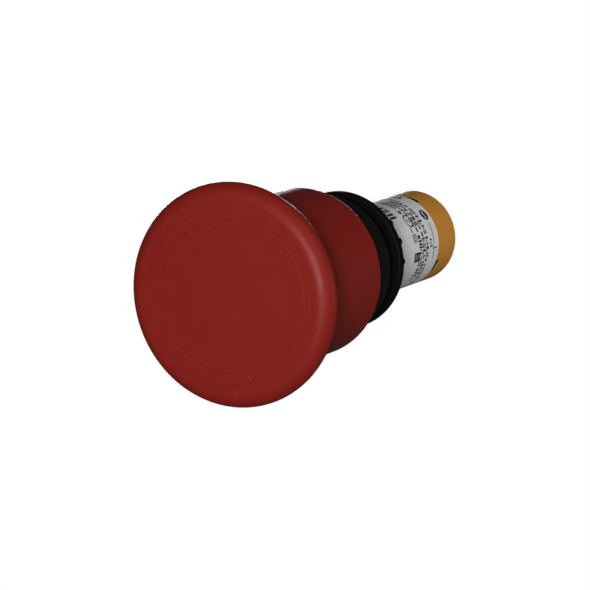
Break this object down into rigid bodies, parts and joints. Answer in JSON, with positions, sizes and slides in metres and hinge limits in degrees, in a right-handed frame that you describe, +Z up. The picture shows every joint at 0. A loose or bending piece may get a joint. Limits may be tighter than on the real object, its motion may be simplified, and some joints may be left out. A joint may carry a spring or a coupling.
{
  "type": "emergency stop button",
  "caption": "Panel-mount emergency stop button: palm head that pushes to latch and turns to release, threaded neck with ring nut, and a slim contact body with screw terminals.",
  "frame": {"origin": "centre of the panel cut-out on the panel's front face", "axes": "+Y along the button's axis from the head to the terminals, +Z up, +X to the right seen from the front"},
  "size_m": [0.045, 0.0868, 0.045],
  "materials": {
    "head_red": "fine satin moulded plastic",
    "bezel_black": "satin moulded plastic",
    "nut_black": "satin moulded plastic",
    "rubber": "matt",
    "label_silver": "satin printed foil",
    "cap_yellow": "satin moulded plastic",
    "inner_plastic": "satin moulded plastic",
    "latch_steel": "ground",
    "spring_steel": "bright drawn wire",
    "terminal_brass": "rolled",
    "contact_silver": "polished"
  },
  "bodies": {
    "housing": {"bezel_housing": "bezel_black", "panel_gasket": "rubber", "bellows_seal": "rubber", "return_spring": "spring_steel", "contact_housing": "bezel_black", "label_sleeve": "label_silver", "rear_cap": "cap_yellow", "terminal_block": "bezel_black", "nc_terminals": "terminal_brass", "no_terminals": "terminal_brass", "fixed_contact_tips": "contact_silver", "carrier_spring": "spring_steel", "terminal_clamps": "spring_steel", "terminal_screws": "spring_steel"},
    "plunger": {"plunger": "inner_plastic", "latch_springs": "spring_steel", "turn_spring": "spring_steel"},
    "head": {"palm_head": "head_red", "spindle": "inner_plastic", "spindle_o_ring": "rubber", "release_cam": "inner_plastic", "spindle_clip": "spring_steel"},
    "pawl_upper": {"latch_pawl_upper": "latch_steel"},
    "pawl_lower": {"latch_pawl_lower": "latch_steel"},
    "carrier": {"contact_carrier": "inner_plastic", "nc_bridge": "terminal_brass", "no_bridge": "terminal_brass", "bridge_contact_tips": "contact_silver", "bridge_springs": "spring_steel"},
    "washer": {"clamp_washer": "nut_black"},
    "nut": {"ring_nut": "nut_black"}
  },
  "joints": [
    {"name": "push", "type": "slide", "parent": "housing", "child": "plunger", "axis": [0, 1, 0], "range_m": [0, 0.0045], "deforming": ["return_spring", "bellows_seal"]},
    {"name": "head_turn", "type": "hinge", "parent": "plunger", "child": "head", "pos_m": [0, 0, 0], "axis": [0, 1, 0], "range_deg": [0, 45], "deforming": ["turn_spring"]},
    {"name": "pawl_upper_slide", "type": "slide", "parent": "plunger", "child": "pawl_upper", "axis": [0, 0, 1], "range_m": [0, 0.0009], "deforming": ["latch_springs"]},
    {"name": "pawl_lower_slide", "type": "slide", "parent": "plunger", "child": "pawl_lower", "axis": [0, 0, -1], "range_m": [0, 0.0009]},
    {"name": "carrier_slide", "type": "slide", "parent": "housing", "child": "carrier", "axis": [0, 1, 0], "range_m": [0, 0.0045], "deforming": ["carrier_spring"]},
    {"name": "washer_slide", "type": "slide", "parent": "housing", "child": "washer", "axis": [0, 1, 0], "range_m": [-0.0033, 0.0019]},
    {"name": "nut_turn", "type": "hinge", "parent": "washer", "child": "nut", "pos_m": [0, 0.0082, 0], "axis": [0, 1, 0], "range_deg": [-792, 456]}
  ],
  "couplings": [
    {"joint": "pawl_upper_slide", "follows": "push", "ratio": 0.2},
    {"joint": "pawl_lower_slide", "follows": "push", "ratio": 0.2},
    {"joint": "carrier_slide", "follows": "push", "ratio": 1},
    {"joint": "washer_slide", "follows": "nut_turn", "m_per_rad": 0.00023873}
  ]
}
